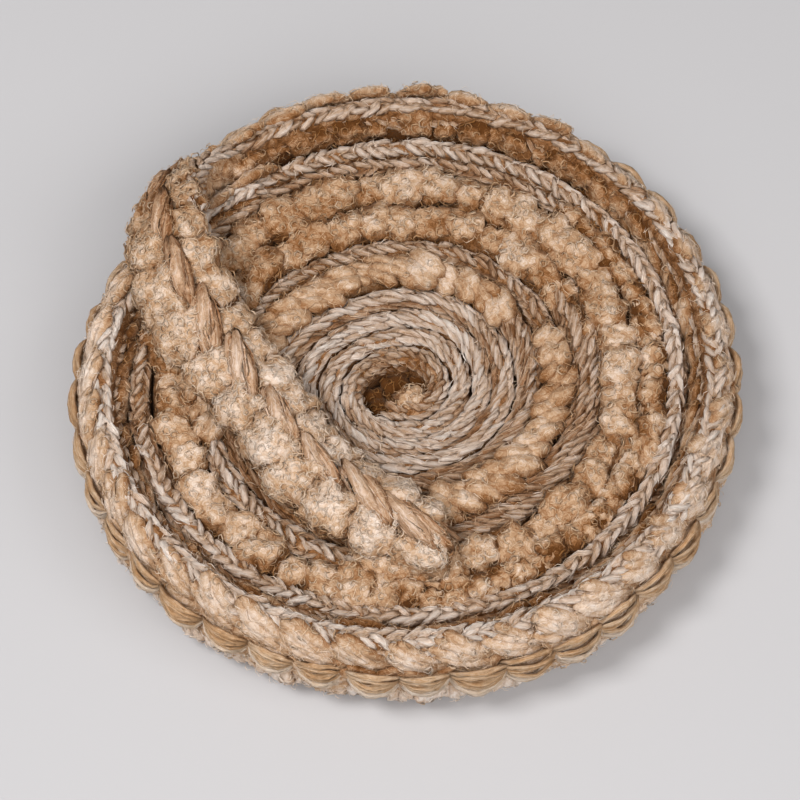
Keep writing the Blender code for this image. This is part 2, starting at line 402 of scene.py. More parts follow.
BODY_STEP = 3.0
WALL_FILL = 0.55
FACE_GIRTH = 0.15
BODY_GIRTH = np.array(
    [-1.0, -0.9, -0.66, -0.42, -0.3, -0.2, -0.1, 0.0, 0.1, 0.2, 0.3, 0.42, 0.66, 0.9, 1.0]
)
CROWN = 7
stations = [EYE_STARTS]
while stations[-1] < WINDING_ENDS:
    inner, outer = band_edges(stations[-1])
    stations.append(stations[-1] + math.degrees(2 * BODY_STEP / float(inner + outer)))
stations[-1] = WINDING_ENDS
wind, girth = np.meshgrid(np.array(stations), BODY_GIRTH, indexing="ij")
point, normal = band_frame(wind, girth)
height = point[..., 2]
drop = point[:, CROWN : CROWN + 1, 2] - height
rim = LAST_TURN + RIM_STARTS
outside = smooth(rim - 12.0, rim, wind) * (girth > FACE_GIRTH)
filled = smooth(2.5, 7.0, drop) * (1 - outside)
point = point + normal * (WALL_FILL * filled * smooth(0.0, 2.0, height))[..., None]
point[..., 2] = np.maximum(point[..., 2], 0.0)
braid_body = closed_loft("braid_body", point, body_yarn)
# tone is painted shade, darker the further a point lies below its crown, except on the rim's
# outer face, which is 0.16 paler. cover is where hairs are sown: the rim's whole face and the
# crowns, not the foot on the floor
paint(
    braid_body,
    tone=0.34 + 0.16 * outside - 0.07 * np.clip(drop - 1.5, 0, 4) * (1 - outside),
    cover=np.where(outside > 0.5, 1.0, 0.45 - 0.3 * (drop > 4.0)) * (height > 2.0),
)
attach(braid_body, "root")
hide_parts("wound_roll")
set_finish(braid_body, ROLL_SLOT)

# -----
# Chain stitches: the yarn worked in rows along the band. Each stitch is a leaf of two plies, and
# the rows lean left and right in turn, so two of them make a plait. The rim's ridge carries four.
CHAIN_SIZE = (5.4, 2.6, 2.3)
CHAIN_PITCH = 3.3
CHAIN_SLANT = 0.40
CHAIN_ROWS = {
    # turn, from, to: each row's girth, slant sign, tone, size
    (0, 124, 400): [
        (-0.10, 1, 0.76, 1.00), (0.09, -1, 0.80, 1.00),
        (-0.32, -1, 0.52, 0.95), (0.24, 1, 0.72, 0.95),
    ],
    (0, 400, 484): [
        (-0.10, 1, 0.56, 0.95), (0.09, -1, 0.60, 0.95),
        (-0.30, -1, 0.42, 0.90), (0.24, 1, 0.54, 0.90),
    ],
    (1, 200, 400): [
        (-0.40, 1, 0.42, 0.85), (-0.13, -1, 0.65, 1.00),
        (0.14, 1, 0.70, 1.00), (0.40, -1, 0.42, 0.90),
    ],
    (1, 400, 484): [
        (-0.40, 1, 0.42, 0.80), (-0.13, -1, 0.61, 0.90),
        (0.14, 1, 0.67, 0.90), (0.40, -1, 0.38, 0.80),
    ],
    (2, 410, 560): [(-0.25, 1, 0.38, 0.85), (0.02, -1, 0.52, 0.90), (0.30, 1, 0.42, 0.85)],
    (3, 200, 264): [(-0.25, 1, 0.60, 0.85), (0.02, -1, 0.66, 0.90), (0.30, 1, 0.52, 0.85)],
    (5, 378, 560): [(-0.28, 1, 0.42, 0.80), (-0.02, -1, 0.48, 0.85), (0.26, 1, 0.55, 0.80)],
}


def tube_mesh(name, tubes, sides, fibres=0, thick=0.0, proud=0.0):
    """A mesh of closed tubes, each its x, y, z and radius, with u along it and v round it. Fibres
    are thin spindles that run along each tube, thick as given, their middles proud of it."""
    vertices, faces, uvs = [], [], []
    chance = np.random.default_rng(len(name) + sum(name.encode()))

    def outward(k, turn):
        return side[k] * math.cos(turn) + rise[k] * math.sin(turn)

    for number, (x, y, z, radius) in enumerate(tubes):
        line = np.stack([x, y, z], axis=1)
        last = len(line) - 1
        ahead = unit(np.gradient(line, axis=0))
        side = np.cross(ahead, (0.0, 0.0, 1.0))
        side /= np.maximum(np.linalg.norm(side, axis=1, keepdims=True), 1e-6)
        rise = np.cross(side, ahead)
        base = len(vertices)
        for k, at in enumerate(line):
            vertices += [at + outward(k, math.tau * s / sides) * radius[k] for s in range(sides)]
        for k in range(last):
            a, b = base + k * sides, base + (k + 1) * sides
            low, high = k / last, (k + 1) / last
            for s in range(sides):
                t = (s + 1) % sides
                faces.append((a + s, b + s, b + t, a + t))
                left, right = number + s / sides, number + (s + 1) / sides
                uvs += [(low, left), (high, left), (high, right), (low, right)]
        end = base + last * sides
        faces += [tuple(range(base, base + sides)), tuple(reversed(range(end, end + sides)))]
        uvs += [(0.0, number + 0.5)] * sides + [(1.0, number + 0.5)] * sides
        for _ in range(fibres):
            long = chance.uniform(0.35, 0.6)
            spots = chance.uniform(0.0, 1.0 - long) + long * np.array([0.0, 0.3, 0.7, 1.0])
            turns = chance.uniform(-0.5, math.pi + 0.5) + np.cumsum(chance.normal(0.0, 0.3, 4))
            lifts = np.array([-0.6, 1.0, 1.0, -0.6]) * proud * chance.uniform(0.3, 1.4)
            shade = number + chance.uniform(0.0, 1.0)
            base = len(vertices)
            for k, (spot, turn, lift) in enumerate(zip(spots * last, turns, lifts)):
                at = [np.interp(spot, range(last + 1), line[:, axis]) for axis in range(3)]
                reach = np.interp(spot, range(last + 1), radius) + lift
                at = at + outward(int(round(spot)), turn) * reach
                if k in (0, 3):
                    vertices.append(at)
                else:
                    vertices += [at + outward(0, math.tau * s / 3) * thick for s in range(3)]
            for s in range(3):
                t = (s + 1) % 3
                a, b, c, d = base + 1 + s, base + 1 + t, base + 4 + s, base + 4 + t
                faces += [(base, b, a), (a, b, d, c), (base + 7, c, d)]
                uvs += [(spots[0], shade)] * 3 + [(spots[1], shade)] * 4 + [(spots[3], shade)] * 3
    data = smooth_mesh(name, [tuple(v) for v in vertices], faces)
    data.uv_layers.new(name="UVMap").data.foreach_set("uv", np.array(uvs, np.float32).ravel())
    shape = bpy.data.objects.new(name, data)
    # rise: each point's height, which place_shapes turns into painted light and shade
    paint(shape, rise=[v[2] for v in vertices])
    return turn_outwards(shape)


def plied_leaf(name, plies, segments, twist, belly, arch, spread, sides=4, fibres=1):
    """A unit-long leaf of plied strands: fat in the middle, its ends drawn down and together."""
    t = np.linspace(0.0, 1.0, segments + 1)
    swell = np.sin(np.pi * (0.06 + 0.88 * t)) ** 0.5
    tubes = []
    for ply in range(plies):
        turn = math.tau * ply / plies + twist * t * math.tau
        y = spread * swell * np.cos(turn) + belly * np.sin(np.pi * t)
        z = spread * swell * np.sin(turn) - arch * (2 * t - 1) ** 2
        tubes.append((t - 0.5, y, z, (0.5 - spread) * swell))
    return tube_mesh(name, tubes, sides, fibres, 0.04, 0.04)


NAMED = "GeometryNodeInputNamedAttribute"
STORE = "GeometryNodeStoreNamedAttribute"
POSITION = "GeometryNodeInputPosition"
SET_POSITION = "GeometryNodeSetPosition"
# The ruffle that breaks up every shape's outline has waves about 2.4 mm long.
RUFFLES = 420.0


def new_tree(name, **sizes):
    """A geometry node tree that sets shapes over a mesh: add_node for it, and its named inputs."""
    tree = bpy.data.node_groups.new(name, "GeometryNodeTree")
    kinds = {"geometry": "Geometry", "shapes": "Collection", "material": "Material", "seed": "Int"}
    socket = partial(tree.interface.new_socket, socket_type="NodeSocketFloat", in_out="INPUT")
    for label, kind in kinds.items():
        socket(label.title(), socket_type="NodeSocket" + kind)
    for label, value in sizes.items():
        socket(label.replace("_", " ").title()).default_value = value
    socket("Geometry", socket_type="NodeSocketGeometry", in_out="OUTPUT")
    return tree, partial(add_node, tree), tree.nodes.new("NodeGroupInput").outputs


def random_value(node, asked, salt, low, high, kind="FLOAT"):
    """A random value from low to high, its seed the tree's own plus a salt."""
    seed = node(MATH, asked["Seed"], salt, operation="ADD")
    return node("FunctionNodeRandomValue", low, high, data_type=kind, Seed=seed)


def place_shapes(node, asked, points, facing, swing, size):
    """The end both trees share: turn a shape at each point, tint it, realize it, paint shade
    at its foot and light on its top, give it yarn.
    """
    scaled = partial(node, VECTOR_MATH, operation="SCALE")
    mixed = partial(node, MATH, operation="MULTIPLY_ADD")
    swell = random_value(node, asked, 5, -1.0, 1.0)
    shapes = node("GeometryNodeCollectionInfo", asked["Shapes"], True, True)
    turned = node("FunctionNodeRotateRotation", facing, swing, rotation_space="LOCAL")
    placed = node(
        "GeometryNodeInstanceOnPoints",
        Points=points,
        Instance=shapes,
        Pick_Instance=True,
        Instance_Index=random_value(node, asked, 11, 0, 60, "INT"),
        Rotation=turned,
        Scale=scaled(size, mixed(swell, asked["Size Jitter"], 1.0)),
    )
    tone = node(NAMED, "tone")
    tint = node(MATH, tone, asked["Tone Shift"], operation="ADD")
    tint = mixed(random_value(node, asked, 12, -1.0, 1.0), asked["Tone Jitter"], tint)
    toned = node(STORE, placed, Name="tone", Value=tint, data_type="FLOAT", domain="INSTANCE")
    real = node("GeometryNodeRealizeInstances", toned)
    # painted light and shade: a point is paler above Root Height and darker below it, by Root Shade
    above = node(MATH, node(NAMED, "rise"), asked["Root Height"], operation="SUBTRACT")
    deep = mixed(above, asked["Root Shade"], tone)
    rooted = node(STORE, real, Name="tone", Value=deep, data_type="FLOAT", domain="POINT")
    waves = node(NOISE, Scale=RUFFLES, Detail=1.5, Roughness=0.55, Vector=node(POSITION))
    waves = node(VECTOR_MATH, waves.node.outputs["Color"], (0.5,) * 3, operation="SUBTRACT")
    ruffled = node(SET_POSITION, rooted, Offset=scaled(waves, asked["Ruffle"]))
    node("NodeGroupOutput", node("GeometryNodeSetMaterial", ruffled, Material=asked["Material"]))


COMMON_SIZES = {
    "size_jitter": 0.2,
    "tone_jitter": 0.07,
    "tone_shift": 0.0,
    # root_height and root_shade paint light and shade: paler above the root height, darker below
    "root_height": 0.30,
    "root_shade": 0.0,
    "ruffle": 1.2 * MM,
}
rows_tree, node, asked = new_tree(
    "yarn_rows", slant_jitter=0.2, roll_jitter=0.3, place_jitter=0.4 * MM, **COMMON_SIZES
)
curve = node("GeometryNodeMeshToCurve", asked["Geometry"])
even = node("GeometryNodeResampleCurve", mode="LENGTH", Curve=curve, Length=node(NAMED, "pitch"))
jog = random_value(node, asked, 1, (-1.0,) * 3, (1.0,) * 3, "FLOAT_VECTOR")
jog = node(VECTOR_MATH, jog, asked["Place Jitter"], operation="SCALE")
tangent = node("GeometryNodeInputTangent")
face = node(NAMED, "face", data_type="FLOAT_VECTOR")
upright = node("FunctionNodeAxesToRotation", face, tangent, primary_axis="Z", secondary_axis="X")
sway, rock = (random_value(node, asked, salt, -1.0, 1.0) for salt in (2, 3))
nod = random_value(node, asked, 4, -0.5, 0.5)
lean = node(MATH, sway, asked["Slant Jitter"], node(NAMED, "slant"), operation="MULTIPLY_ADD")
tilts = (node(MATH, v, asked["Roll Jitter"], operation="MULTIPLY") for v in (rock, nod))
swing = node("ShaderNodeCombineXYZ", *tilts, lean)
size = node(NAMED, "size", data_type="FLOAT_VECTOR")
place_shapes(node, asked, node(SET_POSITION, even, Offset=jog), upright, swing, size)


def guide(rows):
    """A mesh of polylines for the rows tree. A row is its points and normals (mm) and its look."""
    vertices, edges = [], []
    columns = {"face": [], "size": [], "pitch": [], "slant": [], "tone": []}
    for points, normals, look in rows:
        first, count = len(vertices), len(points)
        vertices += (points * MM).tolist()
        edges += [(first + k, first + k + 1) for k in range(count - 1)]
        look = {"slant": 0.0, **look, "face": normals}
        for name, column in columns.items():
            values = np.broadcast_to(look[name], (count, 3) if name in ("face", "size") else count)
            column.append(values * MM if name in ("size", "pitch") else values)
    data = bpy.data.meshes.new("guide")
    data.from_pydata(vertices, edges, [])
    for name, column in columns.items():
        kind, key = ("FLOAT_VECTOR", "vector") if name in ("face", "size") else ("FLOAT", "value")
        layer = data.attributes.new(name, kind, "POINT")
        layer.data.foreach_set(key, np.concatenate(column).astype(np.float32).ravel())
    return data


def grow(name, data, shapes, tree=rows_tree, slot=ROLL_SLOT, **settings):
    """A plain mesh piece: a tree run over a mesh or over rows, with its shapes and settings."""
    group = bpy.data.collections.new(name + "_shapes")
    for shape in shapes:
        group.objects.link(shape)
    source = put(name + "_source", guide(data) if isinstance(data, list) else data)
    modifier = source.modifiers.new(name, "NODES")
    modifier.node_group = tree
    keys = {i.name: i.identifier for i in tree.interface.items_tree if i.in_out == "INPUT"}
    for label, value in {"shapes": group, **settings}.items():
        modifier[keys[label.replace("_", " ").title()]] = value
    ready = source.evaluated_get(bpy.context.evaluated_depsgraph_get())
    result = bpy.data.meshes.new_from_object(ready)
    bpy.data.objects.remove(source)
    bpy.data.collections.remove(group)
    piece = put(name, result)
    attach(piece, "root")
    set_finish(piece, slot)
    return piece


def band_row(turn, start, end, girth, lift, swell=None, **look):
    """A row along the wound band: turn 0 is the rim, and its angles run from 124 to 484. swell is
    more lift at angles round the turn."""
    zero = LAST_TURN - 360.0 * turn
    first, last = max(zero + start, EYE_STARTS), min(zero + end, WINDING_ENDS)
    wind = np.arange(first, last, 1.0 if turn < 6 else 3.0)
    point, normal = band_frame(wind, girth)
    if swell:
        lift = lift + np.interp(wind - zero, *swell)[:, None]
    return point + normal * lift, normal, look


def each_row(runs):
    """The rows of a table of runs, one by one, each with its run."""
    return ((run, *row) for run in runs for row in runs[run])


# Plied stitch yarn: streaks run along each ply, deep enough that the plies part.
stitch_yarn = yarn_material("plied_stitch_yarn", 0.9, 0.22, PLIED_SHADES)
STITCH_LEAVES = {
    # twist, belly, arch, spread
    "stitch_a": (0.40, 0.06, 0.14, 0.13),
    "stitch_b": (0.30, -0.07, 0.18, 0.15),
    "stitch_c": (0.45, 0.04, 0.12, 0.18),
}
BEDDED = -0.1  # every row starts this far down in the band
rows = []
for run, girth, sign, shade, size in each_row(CHAIN_ROWS):
    look = {"size": [v * size for v in CHAIN_SIZE], "pitch": CHAIN_PITCH * size, "tone": shade}
    rows.append(band_row(*run, girth, BEDDED, slant=sign * CHAIN_SLANT, **look))
chain_stitches = grow(
    "chain_stitches", rows,
    [plied_leaf(name, 2, 4, *leaf) for name, leaf in STITCH_LEAVES.items()], material=stitch_yarn,
    slant_jitter=0.28, place_jitter=0.28 * MM, size_jitter=0.22, tone_jitter=0.14,
    root_height=0.15, root_shade=0.55, ruffle=1.6 * MM, seed=3,
)

# -----
# Plied strands: roving left long and laid slantwise, strand over strand, along the inner turns. It
# is the same yarn as the chain's, worked into the crown of the band at both ends of each strand.
STRAND_ROWS = {
    # turn, from, to: each row's girth, slant, tone, length
    (4, 200, 262): [(-0.22, 0.18, 0.20, 6.5), (0.05, 0.14, 0.34, 6.5), (0.30, 0.18, 0.22, 6.5)],
    (4, 262, 392): [(-0.28, 0.30, 0.36, 6.1), (-0.05, 0.38, 0.46, 6.2)],
    (4, 262, 375): [(0.16, 0.40, 0.52, 6.2), (0.34, 0.25, 0.44, 5.8)],
    (5, 200, 276): [(-0.20, 0.25, 0.50, 5.8), (0.15, 0.25, 0.55, 5.8)],
    (6, 200, 292): [(-0.24, 0.25, 0.40, 6.5), (0.00, 0.30, 0.46, 6.5), (0.24, 0.25, 0.36, 6.5)],
    (6, 290, 402): [
        (-0.30, 0.28, 0.50, 6.5), (-0.12, 0.34, 0.32, 6.5),
        (0.06, 0.34, 0.54, 6.8), (0.24, 0.30, 0.36, 6.5),
    ],
    (7, 200, 560): [(-0.28, 0.20, 0.38, 5.8), (-0.05, 0.26, 0.66, 5.8), (0.20, 0.24, 0.69, 5.8)],
    (8, 200, 560): [(-0.24, 0.22, 0.73, 5.4), (0.00, 0.28, 0.78, 5.4), (0.24, 0.22, 0.58, 5.4)],
    (9, 200, 560): [(-0.22, 0.22, 0.75, 4.7), (0.04, 0.26, 0.70, 4.7), (0.26, 0.22, 0.54, 4.3)],
    (10, 240, 560): [
        (-0.40, 0.30, 0.33, 3.2), (-0.24, 0.30, 0.41, 3.2),
        (0.00, 0.30, 0.51, 3.6), (0.24, 0.28, 0.64, 4.0),
    ],
}
STRAND_LEAVES = {
    # twist, belly, arch, spread
    "strand_a": (0.7, 0.10, 0.12, 0.14),
    "strand_b": (0.5, -0.12, 0.16, 0.12),
    "strand_c": (0.6, 0.06, 0.14, 0.20),
}
STRAND_WIDTH = 2.1
STRAND_PITCH = 2.3
rows = []
for run, girth, slant, shade, length in each_row(STRAND_ROWS):
    look = {"size": (length, STRAND_WIDTH, STRAND_WIDTH), "pitch": STRAND_PITCH, "tone": shade}
    rows.append(band_row(*run, girth, BEDDED, slant=-slant, **look))
strand_shapes = [plied_leaf(name, 2, 5, *leaf) for name, leaf in STRAND_LEAVES.items()]
plied_strands = grow(
    "plied_strands", rows, strand_shapes, material=stitch_yarn, slant_jitter=0.16,
    place_jitter=0.3 * MM, tone_jitter=0.14, root_height=0.15, root_shade=0.45, ruffle=1.5 * MM,
    seed=8,
)

# -----
# Boucle bobbles: soft balls of looped yarn in rows on the band's crown, and on the rim's inner face
# where it stands clear of the next turn. Between them some turns carry short slanting puffs.
BOBBLE_SUNK = 0.22
BOBBLE_ROWS = (
    # turn, from, to, girth, length, width, high, slant, pitch, tone
    (0, 396, 484, -0.34, 7.8, 6.6, 5.6, 0.0, 6.0, 0.23),
    (0, 396, 484, -0.56, 7.8, 7.0, 5.2, 0.0, 6.0, 0.10),
    (2, 198, 266, 0.02, 9.8, 8.4, 6.8, 0.0, 7.2, 0.47),
    (2, 266, 408, -0.18, 6.6, 5.4, 5.2, 0.0, 4.8, 0.37),
    (2, 266, 408, 0.18, 6.6, 5.4, 5.2, 0.0, 4.8, 0.42),
    (3, 262, 408, 0.00, 10.4, 8.8, 7.6, 0.0, 7.8, 0.43),
    (3, 408, 560, 0.00, 11.2, 9.6, 7.4, 0.0, 7.6, 0.41),
    (4, 376, 392, 0.24, 6.8, 5.6, 5.4, 0.0, 5.2, 0.42),
    (4, 392, 520, 0.00, 10.6, 8.6, 6.8, 0.0, 7.0, 0.39),
)
EYE_TUCK = (
    # the band's first end folded into the eye: x, y, z, wide, high, tone. Those low down in the
    # eye have tones below 0, the darkest brown: painted shade in the hole.
    (0.2, -4.6, 11.2, 6.4, 6.6, 0.48),
    (-3.2, 1.2, 6.0, 7.0, 7.0, -0.16),
    (3.0, 2.4, 6.0, 7.0, 7.0, -0.16),
    (-3.6, 6.6, 11.4, 5.0, 5.0, 0.16),
    (-5.4, -6.4, 6.5, 8.0, 8.0, -0.24),
    (-8.0, -3.6, 6.5, 7.0, 8.0, -0.24),
)


def lumpy_ball(name, seed, rough=0.42, square=2.8):
    """A unit-wide ball of yarn with soft dents, squared off as it is pressed by its neighbours."""
    mesh = bmesh.new()
    bmesh.ops.create_icosphere(mesh, subdivisions=3, radius=0.5)
    shift = Vector((seed * 3.1, seed * 1.7, seed * 2.3))
    for vertex in mesh.verts:
        at = vertex.co.copy()
        dent = noise.noise(at * 3.4 + shift) + 0.7 * noise.noise(at * 8.0 + shift)
        girth = sum(abs(2.0 * v) ** square for v in at) ** (1.0 / square)
        vertex.co = at / girth * (1.0 + rough * dent)
    data = bpy.data.meshes.new(name)
    mesh.to_mesh(data)
    mesh.free()
    data.uv_layers.new(name="UVMap")
    data.shade_smooth()
    ball = bpy.data.objects.new(name, data)
    # rise: each point's height, which place_shapes turns into painted light and shade
    paint(ball, rise=[v.co.z for v in data.vertices])
    return ball


def sunk_rows(table, sunk):
    """Rows of bobbles along the band, each sunk in it by a share of its height."""
    for *run, girth, length, width, high, slant, pitch, shade in table:
        look = {"size": (length, width, high), "pitch": pitch, "slant": -slant, "tone": shade}
        yield band_row(*run, girth, -sunk * high, **look)


rows = [*sunk_rows(BOBBLE_ROWS, BOBBLE_SUNK)]
for x, y, z, wide, high, shade in EYE_TUCK:
    spot = np.array([(x, y, z), (x + 0.05, y, z)])
    look = {"size": (wide, wide, high), "pitch": 1.0, "tone": shade}
    rows.append((spot, np.array([(0.0, 0.0, 1.0)] * 2), look))
# Looped boucle: no strand can be followed, only small curls with dark pits between them.
boucle_yarn = yarn_material("looped_boucle_yarn", 0.0, 0.22)
boucle_bobbles = grow(
    "boucle_bobbles", rows, [lumpy_ball(f"ball_{k}", k) for k in range(6)], material=boucle_yarn,
    slant_jitter=0.7, place_jitter=0.9 * MM, root_height=0.28, root_shade=0.75, seed=21,
)

PUFF_SUNK = 0.20
PUFF_ROWS = (
    # turn, from, to, girth, length, width, high, slant, pitch, tone
    (4, 520, 560, 0.00, 7.6, 5.6, 5.0, 0.60, 4.8, 0.38),
    (5, 276, 378, 0.00, 7.8, 5.8, 5.4, 0.60, 5.0, 0.32),
    (6, 402, 560, 0.00, 8.4, 5.6, 5.2, 0.55, 5.0, 0.34),
    (0, 130, 404, -0.46, 8.0, 6.0, 3.6, 0.70, 5.6, 0.26),
)


def tuft(name, strands, seed, fan, sag):
    """A unit-long bobble of soft fat strands side by side: they swell from one end, are drawn
    together by fan at the other, and sag sideways between the two."""
    tubes = []
    t = np.array([0.0, 0.05, 0.18, 0.4, 0.65, 0.88, 1.0])
    thick = np.array([0.35, 0.72, 1.0, 1.02, 0.9, 0.68, 0.4])
    for k in range(strands):
        aside = (k + 0.5) / strands - 0.5
        late = 0.07 * math.sin(seed + 4.1 * k)
        x = (t - 0.5) * (1.0 - 0.5 * abs(late)) + late
        y = 1.15 * aside * (1.0 - fan * t**1.5) + 0.05 * np.sin(6.0 * t + seed + 2.2 * k)
        y = y - sag * (np.sin(np.pi * t) - 0.5)
        crown = 0.40 * math.cos(1.7 * aside) + 0.03 * math.sin(3.0 * seed + k)
        z = crown * np.sin(np.pi * (0.12 + 0.8 * t))
        tubes.append((x, y, z, 0.92 / strands * (thick * (1.0 + 0.10 * math.sin(seed - k)))))
    return tube_mesh(name, tubes, 6, 10 // strands, 0.014, 0.03)


# Brushed boucle: combed along its length, so some streaks run through its curls.
brushed_yarn = yarn_material("brushed_boucle_yarn", 0.22, 0.24)
boucle_puffs = grow(
    "boucle_puffs", [*sunk_rows(PUFF_ROWS, PUFF_SUNK)],
    [tuft(f"puff_{k}", 2 + k % 2, k, 0.3, 0.05) for k in range(4)], material=brushed_yarn,
    slant_jitter=0.22, size_jitter=0.16, root_shade=0.60, ruffle=1.8 * MM, seed=27,
)

# -----
# Rim fringe: the boucle where it stands out of the outermost turn. Under the chain comes a row of
# slanting teardrops, then fuller bobbles, each held in a swag of golden strands, then low feet.
RIM_PITCH = 360.0 / 41.0
SWELL_ANGLES = (124.0, 300.0, 330.0, 380.0, 420.0, 450.0, 470.0, 484.0)
SWELL = (SWELL_ANGLES, (0.0, 0.0, -1.2, -1.4, -0.4, 1.5, 1.4, 0.0))
FRINGE_SUNK = 0.26
FRINGE_ROWS = (
    # name, phase, share of the pitch, girth, length, width, high, slant, fan, sag, tone
    ("rim_teardrops", 0.3, 1.0, 0.27, 13.2, 6.8, 6.2, -0.52, 0.65, 0.0, 0.53),
    ("rim_crescents", 0.8, 1.0, 0.55, 13.2, 8.0, 5.6, 0.0, 0.0, 0.40, 0.46),
    ("rim_feet", 0.4, 0.5, 0.82, 7.8, 6.6, 5.8, 1.57, 0.3, 0.0, 0.66),
)


def pitch_along(points, run, pitch):
    """The pitch in millimetres along a row of points that steps by pitch over a run."""
    length = np.linalg.norm(np.diff(points, axis=0), axis=1).sum()
    return float(length / run * pitch)


def rim_row(phase, share, girth, lift, **look):
    """A row all round the rim: phase and share are turns of the bobbles' pitch."""
    start = RIM_STARTS + phase * RIM_PITCH
    ride, out, look = band_row(0, start, RIM_ENDS, girth, lift, SWELL, **look)
    look["pitch"] = pitch_along(ride, RIM_ENDS - start, RIM_PITCH * share)
    return [(ride, out, look)]


fringe = []
for name, phase, share, girth, length, width, high, slant, fan, sag, shade in FRINGE_ROWS:
    look = {"size": (length, width, high), "slant": slant, "tone": shade}
    piece = grow(
        name, rim_row(phase, share, girth, -FRINGE_SUNK * high, **look),
        [tuft(f"{name}_{k}", 4, k + 0.5, fan, sag) for k in range(4)],
        material=brushed_yarn, slant_jitter=0.14, roll_jitter=0.2, size_jitter=0.10,
        root_shade=0.75, ruffle=1.8 * MM, seed=34,
    )
    fringe.append(piece)
rim_teardrops, rim_crescents, rim_feet = fringe

SWAG_PHASE = 0.8
SWAG_GIRTH = 0.50
SWAG_LIFT = 0.6
SWAG_DROP = 8.2
SWAG_BULGE = 3.0
SWAG_SPAN = 12.8
SWAG_STRAND = 0.58
SWAG_ROWS = (
    # name, strands, top and foot angle, tone
    ("swag_high", 6, -0.50, 0.35, 0.43),
    ("swag_low", 6, 0.50, 1.30, 0.72),
)


def swag(name, strands, seed, top, foot):
    """Half moons of strands in millimetres that hang from two gathers round a bobble."""
    tubes = []
    t = np.linspace(0.0, 1.0, 8)
    for k in range(strands):
        down = top + (foot - top) * k / (strands - 1) + 0.10 * math.sin(seed + 2.3 * k)
        full = np.sin(np.pi * t) ** (0.60 + 0.12 * math.sin(3.0 * seed + k))
        wave = 0.3 * np.sin(7.0 * t + seed + 1.9 * k)
        x = (t - 0.5) * (SWAG_SPAN - 0.6 * (k % 2))
        y = 0.6 - SWAG_DROP * math.sin(down) * full + wave
        z = -0.4 + SWAG_BULGE * math.cos(down) * full + 0.25 * math.cos(2.0 * k + seed)
        tubes.append((x, y, z, SWAG_STRAND * (0.35 + 0.65 * np.sin(np.pi * (0.1 + 0.8 * t)))))
    return tube_mesh(name, tubes, 4, 1, 0.06, 0.12)


# Slub strands of the swags: the longest and least brushed of the yarn, so the smoothest. They take
# the hairs' pale shades: golden like the strands themselves, and brightened by painted light.
strand_yarn = yarn_material("slub_strand_yarn", 0.9, 0.16, HAIR_SHADES)
for name, strands, top, foot, shade in SWAG_ROWS:
    grow(
        name, rim_row(SWAG_PHASE, 1.0, SWAG_GIRTH, SWAG_LIFT, size=(1.0,) * 3, tone=shade),
        [swag(f"{name}_{k}", strands, 1.3 * k, top, foot) for k in range(3)], material=strand_yarn,
        slant_jitter=0.08, roll_jitter=0.08, size_jitter=0.08, tone_jitter=0.08, seed=40,
    )

# -----
# Loose end: the same band risen off the rim, turned over and laid across the roll. Its face shows
# the whole fringe: a full soft puff and a smaller tip at each gather, with a plied rope between.
END_SLOT = "boucle_yarn_end"
LOOSE_GAP = 0.3
LOOSE_ROUTE = (
    # x, y, z, lean, width, thickness
    (-48.2, 52.6, 16.2, 6.0, 23.5, 8.2),
    (-52.6, 46.2, 21.6, 20.0, 21.5, 8.0),
    (-54.9, 39.6, 26.4, 38.0, 19.5, 7.8),
    (-55.0, 32.4, 29.4, 55.0, 18.0, 7.6),
    (-53.2, 24.0, 29.2, 67.0, 17.0, 7.4),
    (-50.2, 15.6, 26.4, 77.0, 16.5, 7.2),
    (-45.6, 6.6, 24.0, 84.0, 16.0, 7.0),
    (-37.5, -5.2, 22.8, 88.0, 16.0, 7.0),
    (-29.0, -17.6, 22.3, 90.0, 16.0, 7.0),
    (-20.0, -28.8, 22.2, 90.0, 15.5, 7.0),
    (-10.0, -37.2, 22.4, 90.0, 15.0, 6.8),
    (1.0, -43.6, 22.5, 90.0, 12.0, 6.2),
    (9.5, -46.6, 22.2, 90.0, 7.0, 4.6),
)
# The outline of its section from the fringe edge (0) over the face to the ridge edge (0.5) and
# back underneath (1): across the band and up it, on edge and lying.
LOOSE_GIRTH = np.array([0.0, 0.1, 0.2, 0.27, 0.36, 0.45, 0.5, 0.58, 0.7, 0.85, 1.0])
STANDING_ACROSS = np.array([0.70, 1.0, 0.98, 0.97, 0.9, 0.4, 0.0, -0.5, -1.0, -1.0, 0.70])
STANDING_UP = np.array([0.0, 0.2, 0.4, 0.55, 0.72, 0.94, 1.0, 0.94, 0.66, 0.3, 0.0])
LYING_ACROSS = np.array([0.0, 0.75, 0.95, 0.6, 0.85, 0.45, 0.0, -0.7, -1.0, -0.9, 0.0])
LYING_UP = np.array([0.0, 0.12, 0.28, 0.52, 0.76, 0.95, 1.0, 0.93, 0.6, 0.25, 0.0])
LIES_DOWN = 55.0

rim_inner, rim_outer = (float(v) for v in band_edges(WINDING_ENDS))
end_angle = math.radians(WINDING_ENDS)
rim_out = np.array([math.cos(end_angle), math.sin(end_angle), 0.0])
rim_on = np.array([-math.sin(end_angle), math.cos(end_angle), 0.0])
loose_start = rim_out * (rim_inner + rim_outer) / 2 + rim_on * LOOSE_GAP
first_row = (*loose_start[:2], RIM_HEIGHT / 2, 0.0, RIM_HEIGHT, rim_outer - rim_inner)
loose_rows = np.array([first_row, *LOOSE_ROUTE])
steps = np.linalg.norm(np.diff(loose_rows[:, :3], axis=0), axis=1)
LOOSE_KNOTS = np.concatenate([[0.0], np.cumsum(steps)])
LOOSE_LENGTH = float(LOOSE_KNOTS[-1])


